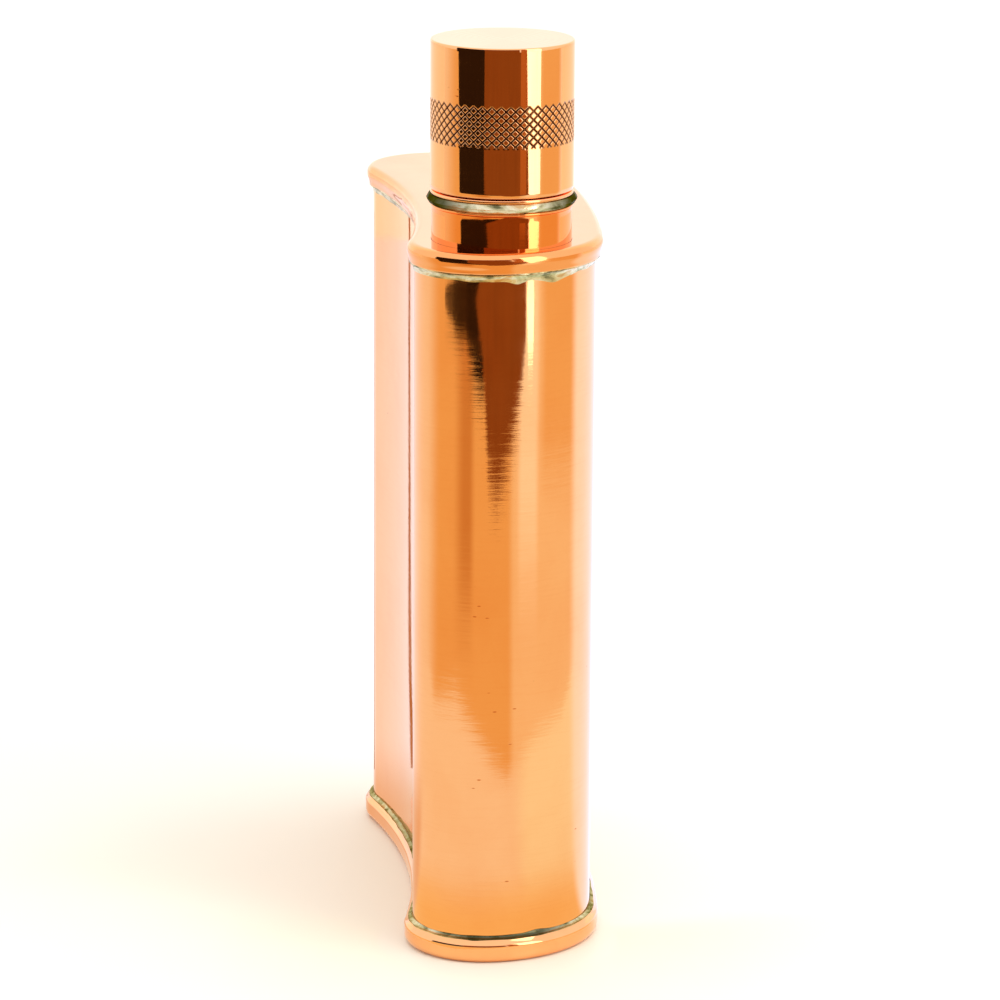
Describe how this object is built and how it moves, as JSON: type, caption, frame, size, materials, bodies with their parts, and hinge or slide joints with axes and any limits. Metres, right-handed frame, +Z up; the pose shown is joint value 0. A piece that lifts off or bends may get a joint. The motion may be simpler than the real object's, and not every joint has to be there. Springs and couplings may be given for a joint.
{
  "type": "hip flask",
  "caption": "Copper hip flask: kidney-section body with soldered end plates, offset round neck, and a knurled screw cap that unscrews and lifts off a threaded spout.",
  "frame": {"origin": "centre of the footprint's bounding box, on the surface the flask stands on", "axes": "+Z up; +Y along the body's length, away from the neck end; +X out of the bulging face"},
  "size_m": [0.0346, 0.0952, 0.15],
  "materials": {
    "body_copper": "polished copper sheet with fine brushing",
    "plate_copper": "polished copper sheet",
    "neck_copper": "polished copper tube",
    "spout_copper": "turned and polished copper",
    "cap_copper": "turned and polished copper with a knurled band",
    "solder": "dull silver-grey soft solder",
    "washer_cork": "pressed cork"
  },
  "bodies": {
    "flask": {"body_wall": "body_copper", "side_seam_solder": "solder", "top_plate": "plate_copper", "base_plate": "plate_copper", "top_solder": "solder", "base_solder": "solder", "neck_tube": "neck_copper", "neck_solder": "solder", "collar_solder": "solder", "spout": "spout_copper"},
    "washer": {"seal_washer": "washer_cork"},
    "cap": {"cap_shell": "cap_copper"}
  },
  "joints": [
    {"name": "cap_lift", "type": "slide", "parent": "flask", "child": "washer", "axis": [0, 0, 1], "range_m": [0, 0.0225]},
    {"name": "cap_turn", "type": "hinge", "parent": "washer", "child": "cap", "pos_m": [-0.00161, -0.03301, 0.126], "axis": [0, 0, 1], "range_deg": [0, 3240]}
  ],
  "couplings": [
    {"joint": "cap_lift", "follows": "cap_turn", "m_per_rad": 0.00039789}
  ]
}
